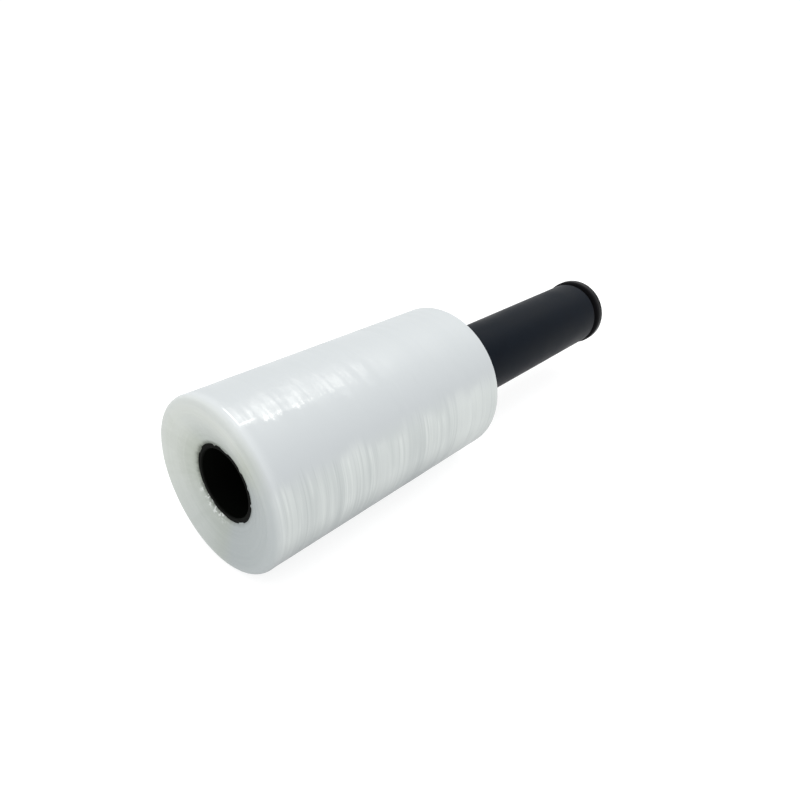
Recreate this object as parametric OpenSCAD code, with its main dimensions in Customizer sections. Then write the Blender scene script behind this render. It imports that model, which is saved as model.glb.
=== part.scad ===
// Hand roll of clear stretch wrap. The film is wound on one end of a long plastic core, a grip
// sleeve turns on the bare end of the core, and a flanged plug at the core's end keeps it on.
// The roll lies on its side on a small flat spot, with its axis along X and the grip towards +X.
// The origin is at the middle of the whole length, on the surface that the roll lies on.

/* [Film roll] */
// Width of the film, which is the length of the wound part
film_w = 152; // [100:1:300]
// Outer diameter of the wound film
film_d = 84; // [64:1:130]
// Rounding of the front edge, where the turns have slipped and drooped
front_edge_r = 3.5; // [0.5:0.1:5]
// Rounding of the edge beside the grip
rear_edge_r = 1; // [0.3:0.1:3]
// How far the front face sinks from its rim to the core
face_dish = 5.8; // [0:0.1:10]
// How sharply that sinking gathers near the core, where 1 is a plain cone
dish_curve = 1.4; // [1:0.1:3]
// Turns that show as ridges on each end face
turn_count = 12; // [4:1:18]
// Greatest depth of a turn below its neighbours
turn_relief = 0.25; // [0.05:0.05:0.6]
// Shallow hollows round the roll, where the film is thinner
band_count = 5; // [2:1:12]
// Greatest depth of one of those hollows
band_relief = 0.12; // [0.02:0.02:0.2]
// Width of the flat spot that the soft roll has settled on
rest_flat_w = 11; // [6:0.5:20]

/* [Core] */
// Outer diameter of the core tube
core_d = 38; // [28:0.5:50]
// Wall of the core tube
core_wall = 2.4; // [2:0.1:5]
// Chamfer at the open mouth of the bore
mouth_chamfer = 0.4; // [0.1:0.1:1]

/* [Grip sleeve] */
// Length of the sleeve
grip_l = 150; // [90:0.5:200]
// Wall of the sleeve
grip_wall = 2.5; // [1.5:0.1:5]
// Radial running clearance between the sleeve and the core
grip_clearance = 0.3; // [0.1:0.05:0.6]
// Rounding of the outer edge at each end of the sleeve
grip_edge_r = 0.7; // [0.2:0.1:1.2]
// Gap between the film and the sleeve
grip_front_gap = 1; // [0.5:0.1:5]
// Gap between the sleeve and the flange, where the core shows
grip_end_gap = 4.6; // [0.5:0.1:10]

/* [End plug] */
// Thickness of the flange
flange_t = 5.6; // [3.5:0.1:8]
// How far the flange stands out beyond the sleeve
flange_lip = 1.1; // [0.3:0.1:4]
// Rounding of both edges of the flange
flange_edge_r = 1.2; // [0.3:0.1:1.7]
// Length of the hollow plug inside the core
plug_l = 18; // [10:1:30]
// Wall of the hollow plug
plug_wall = 2; // [1.2:0.1:3]
// How far the plug's seat is opened out, so that the plug clears the core's bore
seat_step = 0.8; // [0.4:0.1:1.2]
// Ribs round the plug that grip the seat
rib_count = 3; // [2:1:5]
// Height of a rib
rib_h = 0.6; // [0.3:0.1:1]
// Width of a rib's crest
rib_w = 0.8; // [0.5:0.1:1.2]

/* [Hidden] */
$fn = 96;
// Steps in a quarter circle of a rounded edge
arc_steps = 5;
// Turn between one uneven depth and the next, which never repeats along a row
uneven_turn = 137.5;
// Overshoot of a cut past the surface that it opens
cut_over = 1;

film_r = film_d / 2;
core_r = core_d / 2;
bore_r = core_r - core_wall;
grip_bore_r = core_r + grip_clearance;
grip_r = grip_bore_r + grip_wall;
flange_r = grip_r + flange_lip;
seat_r = bore_r + seat_step;
plug_r = seat_r - rib_h;

grip_start = film_w + grip_front_gap;
core_end = grip_start + grip_l + grip_end_gap;
seat_start = core_end - plug_l;
core_start = face_dish;
overall_l = core_end + flange_t;

axis_h = sqrt(film_r * film_r - rest_flat_w * rest_flat_w / 4);
face_outer_r = film_r - front_edge_r;
rear_outer_r = film_r - rear_edge_r;
band_pitch = (film_w - front_edge_r - rear_edge_r) / (2 * band_count);

// An outline is a list of [radius, distance from the film's front rim], turned about the roll's axis.
module turned() {
    translate([-overall_l / 2, 0, axis_h])
        rotate([0, 90, 0])
            rotate_extrude()
                children();
}

// Share of the greatest depth that the turn or hollow of this number has
function uneven(i) = 0.5 + 0.5 * sin(i * uneven_turn);

// Quarter circle from start_angle on, inside the ends that the outline already has
function quarter(centre, r, start_angle) =
    [for (k = [0:arc_steps])
        let (angle = start_angle + 90 * k / arc_steps)
        centre + r * [cos(angle), sin(angle)]];

// Depth of the front face below its rim
function front_depth(r) =
    face_dish * pow(max(0, (face_outer_r - r) / (face_outer_r - core_r)), dish_curve);

// Radius and depth of each turn that shows, between the core and the radius outer_r
function turns(outer_r) =
    [for (i = [1:turn_count])
        [core_r + (outer_r - core_r) * i / (turn_count + 1), turn_relief * uneven(i)]];

front_face = [for (p = turns(face_outer_r)) [p[0], front_depth(p[0]) + p[1]]];
rear_face = [for (p = turns(rear_outer_r)) [p[0], film_w - p[1]]];

// The wound film: one solid, with its turns as ridges on both end faces
module film_roll() {
    front_arc = quarter([face_outer_r, front_edge_r], front_edge_r, -90);
    rear_arc = quarter([rear_outer_r, film_w - rear_edge_r], rear_edge_r, 0);
    side = [for (k = [1:2 * band_count - 1])
        [film_r - band_relief * (k % 2) * uneven(k), front_edge_r + k * band_pitch]];
    rear_inward = [for (i = [len(rear_face) - 1:-1:0]) rear_face[i]];
    inner_front = [core_r, core_start + turn_relief];
    inner_rear = [core_r, film_w - turn_relief];
    color("gainsboro")
        difference() {
            turned()
                polygon(concat([inner_front], front_face, front_arc, side, rear_arc,
                    rear_inward, [inner_rear]));
            translate([-overall_l / 2 - cut_over, -film_r, -film_r])
                cube([film_w + 2 * cut_over, film_d, film_r]);
        }
}

// The core: one tube from the film's front face to the flange, opened out at its far end for the plug
module core_tube() {
    color("dimgray")
        turned()
            polygon([
                [bore_r + mouth_chamfer, core_start],
                [core_r, core_start],
                [core_r, core_end],
                [seat_r, core_end],
                [seat_r, seat_start],
                [bore_r, seat_start],
                [bore_r, core_start + mouth_chamfer],
            ]);
}

// The sleeve that the hand holds, free to turn on the bare core
module grip_sleeve() {
    inner_edge_r = grip_r - grip_edge_r;
    grip_end = grip_start + grip_l;
    color("black")
        turned()
            polygon(concat(
                [[grip_bore_r, grip_start]],
                quarter([inner_edge_r, grip_start + grip_edge_r], grip_edge_r, -90),
                quarter([inner_edge_r, grip_end - grip_edge_r], grip_edge_r, 0),
                [[grip_bore_r, grip_end]]));
}

// The plug: a flange that stops the sleeve, and a hollow ribbed plug in the core's end
module end_plug() {
    flange_end = core_end + flange_t;
    rim_r = flange_r - flange_edge_r;
    hollow_r = plug_r - plug_wall;
    rib_pitch = plug_l / (rib_count + 0.5);
    color("darkslategray")
        turned() {
            polygon(concat(
                [[0, core_end]],
                quarter([rim_r, core_end + flange_edge_r], flange_edge_r, -90),
                quarter([rim_r, flange_end - flange_edge_r], flange_edge_r, 0),
                [[0, flange_end]]));
            translate([hollow_r, seat_start])
                square([plug_wall, plug_l]);
            for (k = [1:rib_count])
                translate([hollow_r, seat_start + rib_pitch * k - rib_w])
                    polygon([
                        [0, 0],
                        [plug_wall, 0],
                        [plug_wall + rib_h, rib_h],
                        [plug_wall + rib_h, rib_h + rib_w],
                        [0, rib_h + rib_w],
                    ]);
        }
}

film_roll();
core_tube();
grip_sleeve();
end_plug();
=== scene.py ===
"""Dresses a hand roll of clear stretch wrap: the wound film, its core, the turning grip and the end plug.

Lengths are in metres. The roll's axis lies along X, with the film at the low end and the grip at the
high end, and the roll rests on the floor at height zero. The near side is at low Y.
"""

import math
from collections import namedtuple

import bpy
import numpy as np
from bpy.props import FloatProperty, FloatVectorProperty, IntProperty, PointerProperty
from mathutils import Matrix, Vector


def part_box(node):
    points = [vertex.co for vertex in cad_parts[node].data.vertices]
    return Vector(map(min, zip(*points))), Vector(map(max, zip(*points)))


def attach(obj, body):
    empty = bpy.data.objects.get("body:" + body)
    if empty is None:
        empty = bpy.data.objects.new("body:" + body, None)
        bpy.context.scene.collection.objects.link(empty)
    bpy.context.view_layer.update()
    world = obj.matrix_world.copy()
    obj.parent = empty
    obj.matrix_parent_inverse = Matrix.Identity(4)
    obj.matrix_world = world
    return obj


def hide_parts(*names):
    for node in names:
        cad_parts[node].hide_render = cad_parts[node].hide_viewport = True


bl_info = {
    "name": "Stretch wrap roll",
    "version": (1, 0, 0),
    "blender": (4, 5, 0),
    "location": "3D View > Sidebar > Wrap roll",
    "description": "Builds the wound film and the finishes of a hand roll of stretch wrap",
    "category": "Object",
}

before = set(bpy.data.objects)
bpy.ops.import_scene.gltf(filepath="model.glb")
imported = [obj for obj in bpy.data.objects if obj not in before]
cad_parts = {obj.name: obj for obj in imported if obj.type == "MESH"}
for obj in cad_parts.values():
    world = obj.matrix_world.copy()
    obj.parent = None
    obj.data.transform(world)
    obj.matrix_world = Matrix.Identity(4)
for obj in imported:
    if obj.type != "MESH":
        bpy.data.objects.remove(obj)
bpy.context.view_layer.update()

MM = 0.001

FILM_LOW, FILM_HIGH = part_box("film_roll")
CORE_LOW, CORE_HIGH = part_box("core_tube")
FILM_RADIUS = FILM_HIGH.y
AXIS_HEIGHT = FILM_HIGH.z - FILM_RADIUS
CORE_RADIUS = CORE_HIGH.y
FILM_WIDTH = FILM_HIGH.x - FILM_LOW.x
FACE_DISH = CORE_LOW.x - FILM_LOW.x

# Steps of the mesh across the film's ends and its two rounded rims
FRONT_FACE_STEPS = 60
FRONT_RIM_STEPS = 12
REAR_RIM_STEPS = 6
REAR_FACE_STEPS = 16
# How the front face's steps crowd towards the core
FACE_CROWDING = 1.15
# Clearance between the film's mesh and the core
SKIN = 0.02 * MM
# How far the innermost turn stands in front of the core's end
INNER_EDGE_LIFT = 0.1 * MM
# How far a loose lip of film stands out, and how far it lies over the core's end
LIP_OUT = 0.3 * MM
LIP_OVER = 0.6 * MM
# Reach of the crumpled film from the core, and where it is thickest as a share of one turn
FRILL_REACH = 1.8 * MM
FRILL_PLACE = 0.62

# Cells of each pattern in one metre, along the roll and across it
BANDS = (140.0, 6.0)
LINES = (900.0, 14.0)
BLOCKS = (85.0, 7.0)
STROKES = (420.0, 55.0)
SWELL = (60.0, 40.0)
PULLS = (170.0, 60.0)
PATCHES = (160.0, 110.0)
GAPS = (420.0, 22.0)
CLOUDS = (45.0, 45.0)
FLECKS = (760.0, 620.0)
GRAIN = (2600.0, 2600.0)
WEAR = (60.0, 60.0)
# Cells of the turns on the film's ends in one metre, outward and over the face
TURNS_OUTWARD = 1200.0
TURNS_OVER = 14.0
# Cells of the spokes on the film's ends, outward as a share of the turns' and in one radian round
SPOKES_OUTWARD = 0.08
SPOKES_ROUND = 9.0

# Where the film's finish changes, in degrees round the roll from its top towards the near side
STRIP_TURN = 26.0
STRIP_BORDER = 32.5
# The next two place the painted highlight lines: along the side and round the front rim
BORDER_HIGHLIGHT_TURN = 29.0
RIM_HIGHLIGHT_TURN = 22.0
# Where painted shade on the cut ends is deepest, and where it lies near the top
SHADED_TURN = 118.0
TOP_SHADE_TURN = 5.7
FAR_TURN = -83.7
FLECK_TURN = -143.1
FAINT_FLECK_TURN = 38.0

# Distance of the painted highlight line from the front rim, and of the faint flecks from the axis
HIGHLIGHT_FROM_RIM = 4.6 * MM
FAINT_FLECK_RADIUS = 28.8 * MM

FILM_GLOSS = 0.3
FILM_IOR = 1.45
STRIP_ROUGHNESS = 0.13
# Heights of the bumps: the film's soft swellings, fine lines and turns, and the plastic's grain
SWELL_BUMP = 0.16 * MM
LINE_BUMP = 0.006 * MM
TURN_BUMP = 0.02 * MM
GRAIN_BUMP = 0.015 * MM

FLOOR_HALF = 12.0
FLOOR_ROUGHNESS = 0.9
ROOM_COLOUR = (0.985, 0.995, 1.0)
LAMP_COLOUR = (1.0, 0.98, 0.90)
LAMP_DISTANCE = 1.4
# Each lamp's name, its degrees round from the grip and up from the horizon, its width and height
LAMPS = (
    ("softbox", 4.0, 63.5, 0.47, 0.68),
    ("fill", 36.0, 60.0, 0.32, 0.60),
    ("strip", -12.5, 61.5, 0.09, 0.26),
    ("overhead", 25.0, 77.0, 0.30, 0.36),
)

# What the film's finish reads of a point: its place from the axis at the front rim, how far that is
# along the roll and above the axis, its distance from the axis and the direction away from it
FilmPoint = namedtuple("FilmPoint", "place along height radius outward")


class FilmSettings(bpy.types.PropertyGroup):
    """Sizes and colours of the wound film"""

    front_edge: FloatProperty(
        name="Front edge", description="Rounding of the film's front rim",
        default=3.5 * MM, min=0.5 * MM, unit="LENGTH",
    )
    rear_edge: FloatProperty(
        name="Rear edge", description="Rounding of the rim beside the grip",
        default=1.0 * MM, min=0.3 * MM, unit="LENGTH",
    )
    dish_curve: FloatProperty(
        name="Dish curve", description="How sharply the front face sinks near the core",
        default=1.4, min=1.0,
    )
    bead: FloatProperty(
        name="Edge bead", description="Height of the thicker edge of the film at the front rim",
        default=0.10 * MM, unit="LENGTH",
    )
    band_height: FloatProperty(
        name="Bands", description="Height of the broad bands that run round the film",
        default=0.06 * MM, unit="LENGTH",
    )
    line_height: FloatProperty(
        name="Tension lines", description="Height of the fine lines that run round the film",
        default=0.012 * MM, unit="LENGTH",
    )
    blister_height: FloatProperty(
        name="Blisters", description="Height of the air trapped under the last turns",
        default=0.06 * MM, unit="LENGTH",
    )
    turn_height: FloatProperty(
        name="Turns", description="Height of the turns that show on the end faces",
        default=0.10 * MM, unit="LENGTH",
    )
    frill_height: FloatProperty(
        name="Frill", description="Height of the crumpled film beside the core",
        default=0.24 * MM, unit="LENGTH",
    )
    around: IntProperty(
        name="Steps around", description="Faces in one turn of the mesh", default=270, min=96
    )
    along: IntProperty(name="Steps along", description="Faces along the film's side", default=245, min=60)
    seed: IntProperty(name="Seed", description="Seed of the film's uneven winding", default=11)
    milky: FloatVectorProperty(
        name="Milky film", description="Colour of the film in bulk", subtype="COLOR",
        default=(0.405, 0.425, 0.438),
    )
    # Darker film where the core shows through, also used as painted shade on the cut ends
    deep_and_shade: FloatVectorProperty(
        name="Film near the core", description="Colour where the dark core shows through",
        subtype="COLOR", default=(0.36, 0.39, 0.34),
    )
    face: FloatVectorProperty(
        name="Film ends", description="Colour of the film on its cut ends", subtype="COLOR",
        default=(0.505, 0.53, 0.497),
    )
    # Painted light: colour of the lower part of the side, paler and greener than the film in bulk
    lower: FloatVectorProperty(
        name="Lower film", description="Colour of the looser film on the lower half", subtype="COLOR",
        default=(0.435, 0.46, 0.456),
    )
    # Pale lines of the film, also used for the painted reflection in the low streaks and painted light on
    # the lower film near the grip
    streak: FloatVectorProperty(
        name="Streaks", description="Colour of the paler lines round the film", subtype="COLOR",
        default=(0.53, 0.555, 0.545),
    )
    # Painted light: colour of the front rim, painted paler than the film
    rim: FloatVectorProperty(
        name="Front rim", description="Colour of the paler film on the front rim", subtype="COLOR",
        default=(0.58, 0.60, 0.61),
    )
    # Painted highlight: colour of the pale lines round the front rim and along the side
    highlight_line: FloatVectorProperty(
        name="Edge line", description="Colour of the film's edge where it is folded over",
        subtype="COLOR", default=(0.86, 0.87, 0.87),
    )
    # Painted shade: colour of the bottom of the side and of the dark lines between the low streaks
    underside_shade: FloatVectorProperty(
        name="Underside", description="Colour of the film's side near the surface it rests on",
        subtype="COLOR", default=(0.25, 0.27, 0.275),
    )
    # Painted shade: colour of the cut ends low down, towards the near side and nearer the core at the top
    shaded: FloatVectorProperty(
        name="Film ends, low", description="Colour of the cut ends near the surface they rest on",
        subtype="COLOR", default=(0.355, 0.385, 0.388),
    )
    fleck: FloatVectorProperty(
        name="Loose film", description="Colour of the crumpled film beside the core", subtype="COLOR",
        default=(0.68, 0.70, 0.69),
    )
    core_shade: FloatVectorProperty(
        name="Core through film", description="Colour of the core seen through the first turns",
        subtype="COLOR", default=(0.06, 0.07, 0.05),
    )
    streak_shift: FloatProperty(
        name="Streak shift", description="Slides the pattern of the streaks along the roll",
        default=57.0 * MM, unit="LENGTH",
    )
    pull_shift: FloatProperty(
        name="Pull shift", description="Slides the pattern of the creases along the roll",
        default=13.0 * MM, unit="LENGTH",
    )
    pull_height: FloatProperty(
        name="Pulls", description="Height of the short creases that run round the tight film",
        default=0.35 * MM, unit="LENGTH",
    )


class PlasticSettings(bpy.types.PropertyGroup):
    """Colours and gloss of the black plastic pieces"""

    core_colour: FloatVectorProperty(
        name="Core", description="Colour of the core tube", subtype="COLOR",
        default=(0.0018, 0.0022, 0.0016),
    )
    core_roughness: FloatProperty(
        name="Core roughness", description="Roughness of the core's surface", subtype="FACTOR", default=0.55
    )
    grip_colour: FloatVectorProperty(
        name="Grip", description="Colour of the grip sleeve", subtype="COLOR",
        default=(0.0026, 0.0044, 0.0076),
    )
    grip_roughness: FloatProperty(
        name="Grip roughness", description="Roughness of the grip's surface", subtype="FACTOR", default=0.42
    )
    plug_colour: FloatVectorProperty(
        name="Plug", description="Colour of the end plug", subtype="COLOR",
        default=(0.008, 0.008, 0.009),
    )
    plug_roughness: FloatProperty(
        name="Plug roughness", description="Roughness of the plug's surface", subtype="FACTOR", default=0.3
    )


class StudioSettings(bpy.types.PropertyGroup):
    """Camera, floor and lights"""

    camera_place: FloatVectorProperty(
        name="Camera place", description="Where the camera stands", subtype="TRANSLATION",
        default=(-0.27147, -0.21266, 0.19625), precision=5,
    )
    camera_turn: FloatProperty(
        name="Camera turn", description="Angle of the view round the vertical", subtype="ANGLE",
        default=math.radians(-48.92),
    )
    camera_tilt: FloatProperty(
        name="Camera tilt", description="Angle of the view below the horizon", subtype="ANGLE",
        default=math.radians(27.98),
    )
    lens: FloatProperty(name="Lens", description="Focal length in millimetres", default=28.9)
    camera_shift: FloatVectorProperty(
        name="Camera shift", description="Offset of the picture in picture widths", size=2,
        default=(-0.0156, 0.0228), precision=4,
    )
    floor_colour: FloatVectorProperty(
        name="Floor", description="Colour of the floor", subtype="COLOR", default=(0.30, 0.30, 0.30)
    )
    floor_glow: FloatProperty(
        name="Floor glow", description="Light that the lit floor gives by itself", default=0.78
    )
    room_light: FloatProperty(name="Room light", description="Strength of the even light", default=1.08)
    glow: FloatProperty(
        name="Glow", description="Extra light from the ceiling round the softbox", default=2.0
    )
    glow_turn: FloatProperty(
        name="Glow turn", description="Where the glow is, round from the grip", subtype="ANGLE",
        default=math.radians(-15.0),
    )
    glow_rise: FloatProperty(
        name="Glow height", description="Where the glow is, up from the horizon", subtype="ANGLE",
        default=math.radians(62.0),
    )
    glow_spread: FloatProperty(
        name="Glow spread", description="How far the glow reaches from its middle", subtype="ANGLE",
        default=math.radians(38.0),
    )
    softbox: FloatProperty(name="Softbox", description="Brightness of the softbox's face", default=3.1)
    fill: FloatProperty(name="Fill", description="Brightness of the panel beside the softbox", default=1.2)
    overhead: FloatProperty(name="Overhead", description="Brightness of the panel overhead", default=6.0)
    strip: FloatProperty(
        name="Strip", description="Brightness of the strip beside the softbox", default=12.0
    )


def add_node(tree, kind, inputs=None, **settings):
    """Adds a shader node; an input is a value or another node's output."""
    made = tree.nodes.new(kind)
    for name, value in settings.items():
        setattr(made, name, value)
    for socket, value in (inputs or {}).items():
        if isinstance(value, bpy.types.NodeSocket):
            tree.links.new(value, made.inputs[socket])
        else:
            made.inputs[socket].default_value = value
    return made


def new_finish(name):
    """An empty material with a Principled shader: the material, its node tree and the shader."""
    finish = bpy.data.materials.new(name)
    finish.use_nodes = True
    tree = finish.node_tree
    tree.nodes.clear()
    shader = add_node(tree, "ShaderNodeBsdfPrincipled")
    add_node(tree, "ShaderNodeOutputMaterial", {"Surface": shader.outputs["BSDF"]})
    return finish, tree, shader


def rgba(colour):
    """A colour with full cover."""
    return (*colour, 1.0)


def vector_math(tree, operation, *vectors):
    """The node of one vector operation on one or two vectors."""
    return add_node(tree, "ShaderNodeVectorMath", dict(enumerate(vectors)), operation=operation)


def shifted(tree, vector, step):
    """The vector moved by a step."""
    return vector_math(tree, "ADD", vector, step).outputs[0]


def stretched(tree, vector, along, across):
    """The vector scaled by one factor along the roll's axis and another across it."""
    return vector_math(tree, "MULTIPLY", vector, (along, across, across)).outputs[0]


def from_axis(tree):
    """Position measured from the roll's axis at the film's front rim."""
    place = add_node(tree, "ShaderNodeTexCoord")
    start = (FILM_LOW.x, 0.0, AXIS_HEIGHT)
    return vector_math(tree, "SUBTRACT", place.outputs["Object"], start).outputs[0]


def noise(tree, vector, cells=(1.0, 1.0), detail=2.0, roughness=0.5):
    """Noise from 0 to 1 with so many cells in one unit along the roll's axis and across it."""
    inputs = {
        "Vector": stretched(tree, vector, *cells),
        "Scale": 1.0,
        "Detail": detail,
        "Roughness": roughness,
    }
    return add_node(tree, "ShaderNodeTexNoise", inputs).outputs["Fac"]


def spread(tree, value, low, high, to_low=0.0, to_high=1.0):
    """Maps low..high smoothly to to_low..to_high and stops at both ends."""
    inputs = {"Value": value, "From Min": low, "From Max": high, "To Min": to_low, "To Max": to_high}
    made = add_node(tree, "ShaderNodeMapRange", inputs, interpolation_type="SMOOTHSTEP")
    return made.outputs["Result"]


def combine(tree, operation, first, second):
    """The result of one operation on two values."""
    return add_node(tree, "ShaderNodeMath", {0: first, 1: second}, operation=operation).outputs[0]


def plus(tree, first, second):
    """The sum of two values."""
    return combine(tree, "ADD", first, second)


def times(tree, first, *others):
    """The product of all the values."""
    for other in others:
        first = combine(tree, "MULTIPLY", first, other)
    return first


def larger(tree, first, second):
    """The larger of two values."""
    return combine(tree, "MAXIMUM", first, second)


def apart(tree, first, second):
    """How far apart two values are."""
    return combine(tree, "ABSOLUTE", combine(tree, "SUBTRACT", first, second), 0.0)


def tint(tree, share, first, second):
    """Mixes two colours by a share from 0 to 1."""
    made = add_node(tree, "ShaderNodeMix", {0: share, 6: first, 7: second}, data_type="RGBA")
    return made.outputs[2]


def blend(tree, share, first, second):
    """Mixes two values by a share from 0 to 1."""
    made = add_node(tree, "ShaderNodeMix", {0: share, 2: first, 3: second}, data_type="FLOAT")
    return made.outputs[0]


def bump(tree, height, distance, strength=1.0, under=None):
    """A bump of that height in metres over another normal."""
    inputs = {"Height": height, "Distance": distance, "Strength": strength}
    if under is not None:
        inputs["Normal"] = under
    return add_node(tree, "ShaderNodeBump", inputs).outputs["Normal"]


def film_point(tree):
    """The point of the film that is being shaded."""
    place = from_axis(tree)
    parts = add_node(tree, "ShaderNodeSeparateXYZ", {0: place})
    across = stretched(tree, place, 0.0, 1.0)
    return FilmPoint(
        place=place,
        along=parts.outputs["X"],
        height=parts.outputs["Z"],
        radius=vector_math(tree, "LENGTH", across).outputs["Value"],
        outward=vector_math(tree, "NORMALIZE", across).outputs[0],
    )


def nearness(tree, point, turn):
    """1 where the film faces that way, 0 a quarter turn from it and -1 opposite, turn in degrees."""
    angle = math.radians(turn)
    way = (0.0, -math.sin(angle), math.cos(angle))
    return vector_math(tree, "DOT_PRODUCT", point.outward, way).outputs["Value"]


def past(tree, point, turn):
    """0 where the near side faces that way, above 0 below it and below 0 above it."""
    return nearness(tree, point, turn + 90.0)


def side_look(tree, look, point):
    """The film's side, with painted light and shade on its lower part: colour, roughness and relief in
    metres.
    """
    slid = shifted(tree, point.place, (look.streak_shift, 0.0, 0.0))
    bands = noise(tree, slid, BANDS)
    lines = noise(tree, slid, LINES, roughness=0.6)
    blocks = noise(tree, slid, BLOCKS, detail=1.0)
    strokes = noise(tree, point.place, STROKES)
    swell = noise(tree, point.place, SWELL, detail=1.0)
    ragged = plus(tree, point.height, spread(tree, lines, 0.3, 0.7, -1.5 * MM, 1.5 * MM))
    ragged = plus(tree, ragged, spread(tree, swell, 0.35, 0.65, 4.0 * MM, -3.0 * MM))
    # Where pale streaks are painted on the low part of the side: partly milky bands in the film, partly
    # painted reflection
    loose_film_and_sheen = spread(tree, ragged, 0.22 * FILM_RADIUS, 0.38 * FILM_RADIUS, 1.0, 0.0)
    # Painted light: the lower part of the side takes the paler, greener lower colour
    low = spread(tree, point.height, 0.15 * FILM_RADIUS, 0.46 * FILM_RADIUS, 1.0, 0.0)
    # Painted shade towards the bottom of the side, near the floor
    lowest = spread(tree, point.height, -0.68 * FILM_RADIUS, -0.15 * FILM_RADIUS, 0.9, 0.0)
    # Painted light towards the grip end: the lower film paler there and its painted bottom shade weaker
    lit_end = spread(tree, point.along, 0.6 * FILM_WIDTH, 0.95 * FILM_WIDTH, 1.0, 0.45)
    lower = tint(tree, spread(tree, lit_end, 0.45, 1.0, 0.5, 0.0), rgba(look.lower), rgba(look.streak))
    body = tint(tree, low, rgba(look.milky), lower)
    broken = times(
        tree,
        spread(tree, bands, 0.36, 0.60, 0.3, 1.0),
        spread(tree, lines, 0.45, 0.63, 0.0, 0.74),
        spread(tree, strokes, 0.36, 0.6, 0.25, 1.0),
    )
    pale = plus(tree, broken, spread(tree, blocks, 0.46, 0.53, 0.0, 0.40))
    body = tint(tree, times(tree, pale, loose_film_and_sheen), body, rgba(look.streak))
    # Painted shade in dark lines between the low streaks
    between = times(tree, spread(tree, lines, 0.42, 0.30, 0.0, 0.22), loose_film_and_sheen)
    body = tint(tree, between, body, rgba(look.underside_shade))
    colour = tint(tree, times(tree, lowest, lit_end), body, rgba(look.underside_shade))
    roughness = spread(tree, bands, 0.35, 0.65, 0.42, 0.54)
    relief = plus(tree, times(tree, swell, SWELL_BUMP), times(tree, lines, LINE_BUMP))
    return colour, roughness, relief


def tight_strip(tree, look, point):
    """The glossy strip where the last turns are pulled tightest: its share and its relief in metres."""
    slid = shifted(tree, point.place, (look.pull_shift, 0.0, 0.0))
    pulls = noise(tree, slid, PULLS, detail=4.0, roughness=0.6)
    patches = noise(tree, slid, PATCHES)
    gaps = noise(tree, slid, GAPS, detail=3.0, roughness=0.6)
    below = plus(tree, past(tree, point, STRIP_BORDER), spread(tree, pulls, 0.3, 0.7, -0.05, 0.05))
    wider = spread(tree, point.along, 0.18 * FILM_WIDTH, 0.36 * FILM_WIDTH, 0.0, -0.12)
    share = times(
        tree,
        spread(tree, nearness(tree, point, STRIP_TURN), 0.90, 0.98, 0.0, 0.85),
        spread(tree, plus(tree, below, wider), -0.03, 0.03, 1.0, 0.0),
        spread(tree, point.along, 0.08 * FILM_WIDTH, 0.78 * FILM_WIDTH, 1.0, 0.0),
        spread(tree, point.along, 2.0 * MM, 5.5 * MM, 0.15, 1.0),
        spread(tree, patches, 0.38, 0.58, 0.35, 1.0),
        spread(tree, gaps, 0.40, 0.56, 0.25, 1.0),
    )
    return share, times(tree, pulls, look.pull_height)


def loose_flecks(tree, point):
    """The share of white flecks: crumpled film beside the core, and a few fainter ones farther out."""
    flecks = noise(tree, point.place, FLECKS, detail=3.0, roughness=0.6)
    beside_core = times(
        tree,
        spread(tree, nearness(tree, point, FLECK_TURN), 0.78, 0.97),
        spread(tree, point.radius, CORE_RADIUS + 5.0 * MM, CORE_RADIUS + 1.0 * MM),
    )
    farther_out = times(
        tree,
        spread(tree, nearness(tree, point, FAINT_FLECK_TURN), 0.972, 0.995, 0.0, 0.4),
        spread(tree, apart(tree, point.radius, FAINT_FLECK_RADIUS), 2.2 * MM, 0.6 * MM),
    )
    return times(tree, larger(tree, beside_core, farther_out), spread(tree, flecks, 0.50, 0.64))


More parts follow.
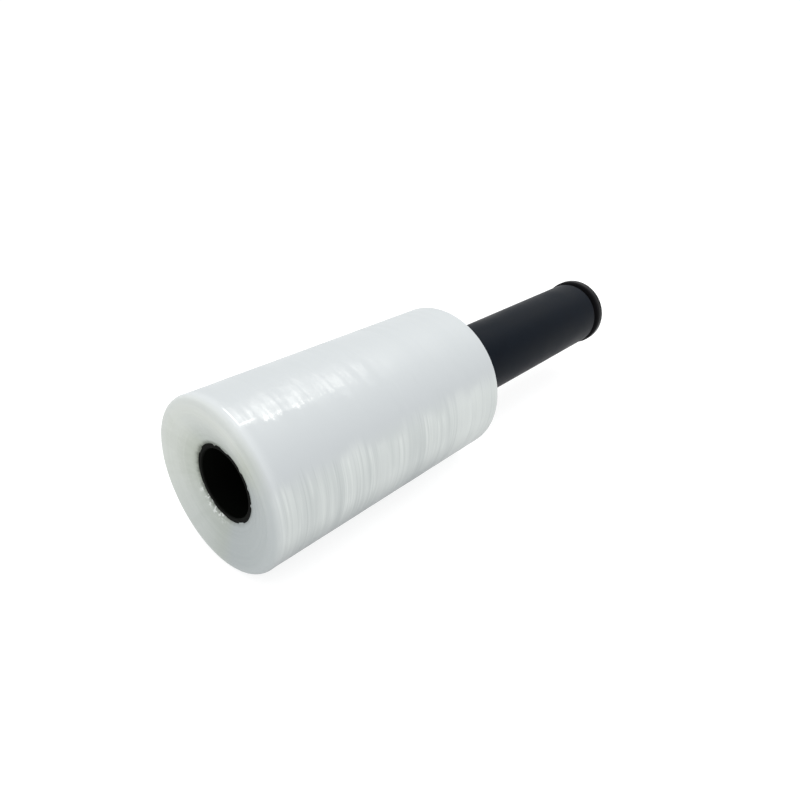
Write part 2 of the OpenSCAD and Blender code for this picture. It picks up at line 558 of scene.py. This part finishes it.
def end_look(tree, look, point):
    """The film's cut ends, turn upon turn, darker where the core shows through and with painted shade: the
    same three.
    """
    clouds = noise(tree, point.place, CLOUDS, detail=3.0)
    out = add_node(tree, "ShaderNodeCombineXYZ", {"X": times(tree, point.radius, TURNS_OUTWARD)}).outputs[0]
    turns_at = shifted(tree, out, stretched(tree, point.place, 0.0, TURNS_OVER))
    turns = noise(tree, turns_at, detail=3.0, roughness=0.6)
    spokes_round = stretched(tree, point.outward, 1.0, SPOKES_ROUND)
    spokes_at = shifted(tree, stretched(tree, out, SPOKES_OUTWARD, 0.0), spokes_round)
    spokes = noise(tree, spokes_at, detail=4.0, roughness=0.65)

    near_core = spread(tree, point.radius, CORE_RADIUS, CORE_RADIUS + 14.0 * MM, 0.75, 0.0)
    uneven = spread(tree, plus(tree, clouds, spokes), 0.7, 1.3, -0.16, 0.16)
    body = tint(tree, plus(tree, near_core, uneven), rgba(look.face), rgba(look.deep_and_shade))
    # Painted shade on the cut end's side that faces the near side and down
    toward_shade = nearness(tree, point, SHADED_TURN)
    body = tint(tree, spread(tree, toward_shade, 0.0, 0.45, 0.0, 0.85), body, rgba(look.deep_and_shade))

    # Painted shade on the cut ends: darker low down, towards the near side, and nearer the core at the top
    low = spread(tree, point.height, 0.2 * FILM_RADIUS, -0.9 * FILM_RADIUS, 0.0, 0.45)
    shade = plus(tree, low, spread(tree, toward_shade, 0.35, 0.8, 0.0, 0.92))
    inner = spread(tree, point.radius, 0.6 * FILM_RADIUS, 0.95 * FILM_RADIUS, 0.40, 0.0)
    uppermost = spread(tree, nearness(tree, point, TOP_SHADE_TURN), 0.6, 0.95)
    shade = plus(tree, shade, times(tree, inner, uppermost))
    body = tint(tree, shade, body, rgba(look.shaded))
    colour = tint(tree, spread(tree, turns, 0.45, 0.7, 0.0, 0.10), body, rgba(look.streak))

    ragged = plus(tree, point.radius, spread(tree, spokes, 0.3, 0.7, -0.4 * MM, 0.4 * MM))
    thin = spread(tree, ragged, CORE_RADIUS, CORE_RADIUS + 2.2 * MM, 0.85, 0.0)
    shown = times(tree, thin, spread(tree, nearness(tree, point, FAR_TURN), -0.66, 0.77, 0.25, 1.0))
    colour = tint(tree, shown, colour, rgba(look.core_shade))
    colour = tint(tree, loose_flecks(tree, point), colour, rgba(look.fleck))
    roughness = spread(tree, turns, 0.3, 0.7, 0.35, 0.5)
    return colour, roughness, times(tree, turns, TURN_BUMP)


def painted_highlight_lines(tree, point):
    """Painted highlight: a pale line round the rim and a shorter one along the side."""
    here = nearness(tree, point, RIM_HIGHLIGHT_TURN)
    highlight_round_rim = times(
        tree,
        spread(tree, apart(tree, point.along, HIGHLIGHT_FROM_RIM), 0.6 * MM, 0.1 * MM),
        spread(tree, here, 0.987, 0.9955, 0.0, 0.45),
    )
    from_border_highlight = times(tree, apart(tree, past(tree, point, BORDER_HIGHLIGHT_TURN), 0.0), FILM_RADIUS)
    highlight_along_side = times(
        tree,
        spread(tree, from_border_highlight, 0.8 * MM, 0.15 * MM),
        spread(tree, point.along, 13.5 * MM, 9.5 * MM, 0.0, 0.40),
        spread(tree, point.along, 4.2 * MM, 5.2 * MM),
        spread(tree, here, 0.0, 0.5),
    )
    return larger(tree, highlight_round_rim, highlight_along_side)


def film_finish(look):
    """The film: milky and glossy on its side, duller and greener on its cut ends, with painted light on its
    front rim and painted highlight lines.
    """
    finish, tree, shader = new_finish("wound_film")
    point = film_point(tree)
    wound = spread(tree, point.radius, FILM_RADIUS - look.front_edge, FILM_RADIUS - 0.5 * look.front_edge)
    side = times(tree, wound, spread(tree, point.along, 0.0, 1.1 * look.front_edge))
    side_colour, side_roughness, side_relief = side_look(tree, look, point)
    end_colour, end_roughness, end_relief = end_look(tree, look, point)
    # Painted light: the front rim is painted paler, most towards the top
    lit_rim = times(
        tree,
        spread(tree, point.along, 8.0 * MM, 1.5 * MM),
        spread(tree, point.radius, FILM_RADIUS - 7.0 * MM, FILM_RADIUS - 1.0 * MM),
        spread(tree, nearness(tree, point, 0.0), -0.7, 0.6, 0.12, 0.34),
    )
    colour = tint(tree, side, end_colour, side_colour)
    colour = tint(tree, lit_rim, colour, rgba(look.rim))
    # Painted highlight lines round the front rim and along the side
    colour = tint(tree, times(tree, painted_highlight_lines(tree, point), wound), colour, rgba(look.highlight_line))
    relief = blend(tree, wound, end_relief, side_relief)
    gloss, creases = tight_strip(tree, look, point)
    tree.links.new(colour, shader.inputs["Base Color"])
    tree.links.new(blend(tree, wound, end_roughness, side_roughness), shader.inputs["Roughness"])
    tree.links.new(bump(tree, relief, 1.0), shader.inputs["Normal"])
    tree.links.new(times(tree, gloss, wound), shader.inputs["Coat Weight"])
    tree.links.new(bump(tree, creases, 1.0), shader.inputs["Coat Normal"])
    shader.inputs["Coat Roughness"].default_value = STRIP_ROUGHNESS
    shader.inputs["Specular IOR Level"].default_value = FILM_GLOSS
    shader.inputs["IOR"].default_value = FILM_IOR
    return finish


def black_plastic(name, colour, roughness, gloss, cells, relief):
    """Black plastic with fine grain, uneven gloss and faint drawn lines of those cells and relief."""
    finish, tree, shader = new_finish(name)
    place = from_axis(tree)
    lines = noise(tree, place, cells, detail=3.0)
    grain = noise(tree, place, GRAIN)
    worn = noise(tree, place, WEAR, detail=4.0)
    paler = tuple(1.2 * channel + 0.0004 for channel in colour)
    worn_colour = tint(tree, spread(tree, worn, 0.3, 0.7), rgba(colour), rgba(paler))
    worn_roughness = spread(tree, worn, 0.3, 0.7, roughness - 0.04, roughness + 0.05)
    drawn = bump(tree, lines, relief, 0.5)
    tree.links.new(worn_colour, shader.inputs["Base Color"])
    tree.links.new(worn_roughness, shader.inputs["Roughness"])
    tree.links.new(bump(tree, grain, GRAIN_BUMP, 0.4, drawn), shader.inputs["Normal"])
    shader.inputs["Specular IOR Level"].default_value = gloss
    return finish


def smooth(value, low, high):
    """0 below low, 1 above high and a smooth rise between."""
    share = np.clip((value - low) / (high - low), 0.0, 1.0)
    return share * share * (3 - 2 * share)


def lattice(rng, turn, way, around, along):
    """Smooth noise from -1 to 1 on a closed ring, with so many cells around it and along it.

    turn is 0 to 1 round the ring and way is 0 to 1 along it.
    """
    table = rng.uniform(-1.0, 1.0, (around, along + 2))
    u = turn * around
    v = np.clip(way, 0.0, 1.0) * along
    i = np.floor(u).astype(int)
    j = np.clip(np.floor(v).astype(int), 0, along)
    fu = smooth(u - i, 0.0, 1.0)
    fv = smooth(v - j, 0.0, 1.0)
    before = i % around
    after = (i + 1) % around
    low = table[before, j] * (1 - fu) + table[after, j] * fu
    high = table[before, j + 1] * (1 - fu) + table[after, j + 1] * fu
    return low * (1 - fv) + high * fv


def quarter(steps):
    """Angles of a quarter circle in so many steps, without its start."""
    return np.radians(np.linspace(0.0, 90.0, steps)[1:])


def film_outline(look):
    """The film's outline: distance from the front rim, radius, inward direction and share of the side."""
    front_r = FILM_RADIUS - look.front_edge
    rear_r = FILM_RADIUS - look.rear_edge
    inner_r = CORE_RADIUS + SKIN
    points = []
    for share in np.linspace(0.0, 1.0, FRONT_FACE_STEPS) ** FACE_CROWDING:
        dish = FACE_DISH * (1.0 - share) ** look.dish_curve
        points.append((dish, inner_r + share * (front_r - inner_r), 1.0, 0.0, 0.0))
    for angle in quarter(FRONT_RIM_STEPS):
        s = look.front_edge * (1 - math.cos(angle))
        r = front_r + look.front_edge * math.sin(angle)
        points.append((s, r, math.cos(angle), -math.sin(angle), math.sin(angle) ** 2))
    for s in np.linspace(look.front_edge, FILM_WIDTH - look.rear_edge, look.along)[1:]:
        points.append((s, FILM_RADIUS, 0.0, -1.0, 1.0))
    for angle in quarter(REAR_RIM_STEPS):
        s = FILM_WIDTH - look.rear_edge * (1 - math.sin(angle))
        r = rear_r + look.rear_edge * math.cos(angle)
        points.append((s, r, -math.sin(angle), -math.cos(angle), math.cos(angle) ** 2))
    for share in np.linspace(1.0, 0.0, REAR_FACE_STEPS)[1:]:
        points.append((FILM_WIDTH, inner_r + share * (rear_r - inner_r), -1.0, 0.0, 0.0))
    return points


def side_depth(look, rng, turn, s):
    """How far the film's side lies below its greatest radius."""
    way = s / FILM_WIDTH
    bands = 0.5 + 0.5 * lattice(rng, turn, way, around=3, along=20)
    lines = lattice(rng, turn, way, around=9, along=116)
    tight = smooth(lattice(rng, turn, way, around=5, along=9), -0.4, 0.4)
    blisters = smooth(lattice(rng, turn, way, around=30, along=30), -0.1, 0.45)
    loose_film_and_sheen = smooth(lattice(rng, turn, way, around=4, along=5), -0.5, 0.3)
    bead = np.exp(-(((s - 1.1 * look.front_edge) / (0.4 * look.front_edge)) ** 2))
    return (
        look.bead * (1.0 - bead)
        + look.band_height * bands
        + look.line_height * lines * tight
        + look.blister_height * (1.0 - blisters * loose_film_and_sheen)
    )


def face_depth(look, rng, turn, r):
    """How far the end faces lie below their even form."""
    out = (r - CORE_RADIUS) / (FILM_RADIUS - CORE_RADIUS)
    turns = lattice(rng, turn, out, around=5, along=30)
    swell = lattice(rng, turn, out, around=5, along=3)
    beside_core = np.clip(1.0 - (r - CORE_RADIUS) / FRILL_REACH, 0.0, 1.0)
    crumpled = 0.25 + smooth(np.cos(2 * math.pi * (turn - FRILL_PLACE)), 0.2, 0.9)
    broad_lumps = lattice(rng, turn, out * 8, around=23, along=3)
    small_lumps = lattice(rng, turn, out * 8, around=51, along=3)
    lumps = 0.6 * broad_lumps + 0.5 * small_lumps
    frill = beside_core * crumpled * (1.0 + lumps)
    return look.turn_height * (1.5 + 0.8 * turns + 0.7 * swell) + look.frill_height * frill


def film_points(look):
    """The film's points as an array of turns by places in the outline, with their relief."""
    rng = np.random.default_rng(look.seed)
    s, r, inward_x, inward_r, side = np.array(film_outline(look)).T
    turn, index = np.meshgrid(np.arange(look.around) / look.around, np.arange(len(s)), indexing="ij")
    on_ends = face_depth(look, rng, turn, r[index])
    on_side = side_depth(look, rng, turn, s[index])
    depth = on_ends * (1.0 - side[index]) + on_side * side[index]
    x = FILM_LOW.x + s[index] + inward_x[index] * depth
    radius = r[index] + inward_r[index] * depth
    lip = smooth(lattice(rng, turn[:, 0], 0.0 * turn[:, 0], around=44, along=1), 0.35, 0.85)
    x[:, 0] = FILM_LOW.x + FACE_DISH - INNER_EDGE_LIFT
    x[:, 1] -= LIP_OUT * lip
    radius[:, 0] -= LIP_OVER * lip
    angle = 2 * math.pi * turn
    z = np.maximum(AXIS_HEIGHT + radius * np.cos(angle), 0.0)
    return np.stack([x, -radius * np.sin(angle), z], axis=-1)


def ring_faces(around, count):
    """The four-cornered faces of a closed grid of so many turns by so many places in the outline."""
    a = np.arange(around)[:, None]
    b = np.arange(count)[None, :]
    after_a = (a + 1) % around
    after_b = (b + 1) % count
    corners = [a * count + b, a * count + after_b, after_a * count + after_b, after_a * count + b]
    return np.stack(corners, axis=-1).reshape(-1, 4)


def film_mesh(look):
    """The wound film as one closed mesh with its finish."""
    points = film_points(look)
    faces = ring_faces(*points.shape[:2])
    mesh = bpy.data.meshes.new("wound_film")
    mesh.from_pydata(points.reshape(-1, 3).tolist(), [], faces.tolist())
    mesh.materials.append(film_finish(look))
    mesh.polygons.foreach_set("use_smooth", np.ones(len(faces), bool))
    mesh.update()
    return mesh


def dress(node, finish):
    """Gives a carried-over piece its finish."""
    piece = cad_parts[node]
    piece.data.materials.clear()
    piece.data.materials.append(finish)


class WRAPROLL_OT_film(bpy.types.Operator):
    """Builds the wound film over its plain solid"""

    bl_idname = "wraproll.film"
    bl_label = "Wound film"

    def execute(self, context):
        film = bpy.data.objects.new("wound_film", film_mesh(context.scene.wrap_film))
        context.scene.collection.objects.link(film)
        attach(film, "roll")
        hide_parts("film_roll")
        return {"FINISHED"}


class WRAPROLL_OT_core(bpy.types.Operator):
    """Finishes the core tube in black extruded plastic"""

    bl_idname = "wraproll.core"
    bl_label = "Core tube"

    def execute(self, context):
        look = context.scene.wrap_plastic
        finish = black_plastic(
            "core_plastic", look.core_colour, look.core_roughness,
            gloss=0.02, cells=(30.0, 900.0), relief=0.04 * MM,
        )
        dress("core_tube", finish)
        return {"FINISHED"}


class WRAPROLL_OT_grip(bpy.types.Operator):
    """Finishes the grip sleeve in matt black plastic"""

    bl_idname = "wraproll.grip"
    bl_label = "Grip sleeve"

    def execute(self, context):
        look = context.scene.wrap_plastic
        finish = black_plastic(
            "grip_plastic", look.grip_colour, look.grip_roughness,
            gloss=0.031, cells=(25.0, 700.0), relief=0.02 * MM,
        )
        dress("grip_sleeve", finish)
        return {"FINISHED"}


class WRAPROLL_OT_plug(bpy.types.Operator):
    """Finishes the end plug in satin black plastic"""

    bl_idname = "wraproll.plug"
    bl_label = "End plug"

    def execute(self, context):
        look = context.scene.wrap_plastic
        finish = black_plastic(
            "plug_plastic", look.plug_colour, look.plug_roughness,
            gloss=0.05, cells=(400.0, 400.0), relief=0.03 * MM,
        )
        dress("end_plug", finish)
        return {"FINISHED"}


def add_floor(look):
    """A plain pale floor that is lit a little from below, as a photographer's table is."""
    low, high = -FLOOR_HALF, FLOOR_HALF
    corners = [(low, low, 0.0), (high, low, 0.0), (high, high, 0.0), (low, high, 0.0)]
    mesh = bpy.data.meshes.new("floor")
    mesh.from_pydata(corners, [], [(0, 1, 2, 3)])
    floor = bpy.data.objects.new("floor", mesh)
    bpy.context.scene.collection.objects.link(floor)
    finish, _, shader = new_finish("floor_paint")
    shader.inputs["Base Color"].default_value = rgba(look.floor_colour)
    shader.inputs["Roughness"].default_value = FLOOR_ROUGHNESS
    shader.inputs["Emission Color"].default_value = (1.0, 1.0, 1.0, 1.0)
    shader.inputs["Emission Strength"].default_value = look.floor_glow
    mesh.materials.append(finish)


def way_to(turn, rise):
    """The direction so far round from the grip and so high up, both in radians."""
    return Vector((math.cos(rise) * math.cos(turn), math.cos(rise) * math.sin(turn), math.sin(rise)))


def add_room(look):
    """Soft light from all round, brighter round the softbox."""
    world = bpy.data.worlds.new("studio")
    world.use_nodes = True
    tree = world.node_tree
    back = tree.nodes["Background"]
    toward = add_node(tree, "ShaderNodeTexCoord").outputs["Generated"]
    facing = vector_math(tree, "DOT_PRODUCT", toward, tuple(way_to(look.glow_turn, look.glow_rise)))
    near = math.cos(look.glow_spread / 5)
    far = math.cos(look.glow_spread)
    glow = spread(tree, facing.outputs["Value"], far, near, look.room_light, look.room_light + look.glow)
    tree.links.new(glow, back.inputs["Strength"])
    back.inputs["Color"].default_value = rgba(ROOM_COLOUR)
    bpy.context.scene.world = world


def add_lamp(name, turn, rise, width, height, brightness):
    """A flat lamp that faces the middle of the film from so far round and so high up, in degrees."""
    target = Vector((FILM_LOW.x + FILM_WIDTH / 2, 0.0, AXIS_HEIGHT))
    way = way_to(math.radians(turn), math.radians(rise))
    data = bpy.data.lights.new(name, "AREA")
    data.shape = "RECTANGLE"
    data.size = width
    data.size_y = height
    data.energy = brightness * math.pi * width * height
    data.color = LAMP_COLOUR
    lamp = bpy.data.objects.new(name, data)
    bpy.context.scene.collection.objects.link(lamp)
    lamp.location = target + LAMP_DISTANCE * way
    lamp.rotation_euler = (-way).to_track_quat("-Z", "Y").to_euler()


def add_camera(look):
    """The camera at the photograph's angle."""
    data = bpy.data.cameras.new("view")
    data.sensor_width = 36.0
    data.lens = look.lens
    data.shift_x, data.shift_y = look.camera_shift
    data.clip_start = 0.01
    camera = bpy.data.objects.new("view", data)
    camera.location = look.camera_place
    camera.rotation_euler = (math.pi / 2 - look.camera_tilt, 0.0, look.camera_turn)
    bpy.context.scene.collection.objects.link(camera)
    bpy.context.scene.camera = camera


class WRAPROLL_OT_stage(bpy.types.Operator):
    """Sets up the floor, the soft light and the camera"""

    bl_idname = "wraproll.stage"
    bl_label = "Floor, light and camera"

    def execute(self, context):
        look = context.scene.wrap_studio
        context.scene.view_settings.view_transform = "Standard"
        add_floor(look)
        add_room(look)
        for name, turn, rise, width, height in LAMPS:
            add_lamp(name, turn, rise, width, height, getattr(look, name))
        add_camera(look)
        return {"FINISHED"}


OPERATORS = (WRAPROLL_OT_film, WRAPROLL_OT_core, WRAPROLL_OT_grip, WRAPROLL_OT_plug, WRAPROLL_OT_stage)


class WRAPROLL_PT_panel(bpy.types.Panel):
    """Lists the pieces of the roll"""

    bl_idname = "WRAPROLL_PT_panel"
    bl_label = "Wrap roll"
    bl_space_type = "VIEW_3D"
    bl_region_type = "UI"
    bl_category = "Wrap roll"

    def draw(self, context):
        for operator in OPERATORS:
            self.layout.operator(operator.bl_idname)


GROUPS = {"wrap_film": FilmSettings, "wrap_plastic": PlasticSettings, "wrap_studio": StudioSettings}
CLASSES = (*GROUPS.values(), *OPERATORS, WRAPROLL_PT_panel)


def register():
    """Adds the settings, the operators and the panel."""
    for cls in CLASSES:
        bpy.utils.register_class(cls)
    for name, group in GROUPS.items():
        setattr(bpy.types.Scene, name, PointerProperty(type=group))


def unregister():
    """Takes the settings, the operators and the panel away again."""
    for name in GROUPS:
        delattr(bpy.types.Scene, name)
    for cls in reversed(CLASSES):
        bpy.utils.unregister_class(cls)


def main():
    """Builds every piece and the stage."""
    register()
    bpy.ops.wraproll.film()
    bpy.ops.wraproll.core()
    bpy.ops.wraproll.grip()
    bpy.ops.wraproll.plug()
    bpy.ops.wraproll.stage()


if __name__ == "__main__":
    main()
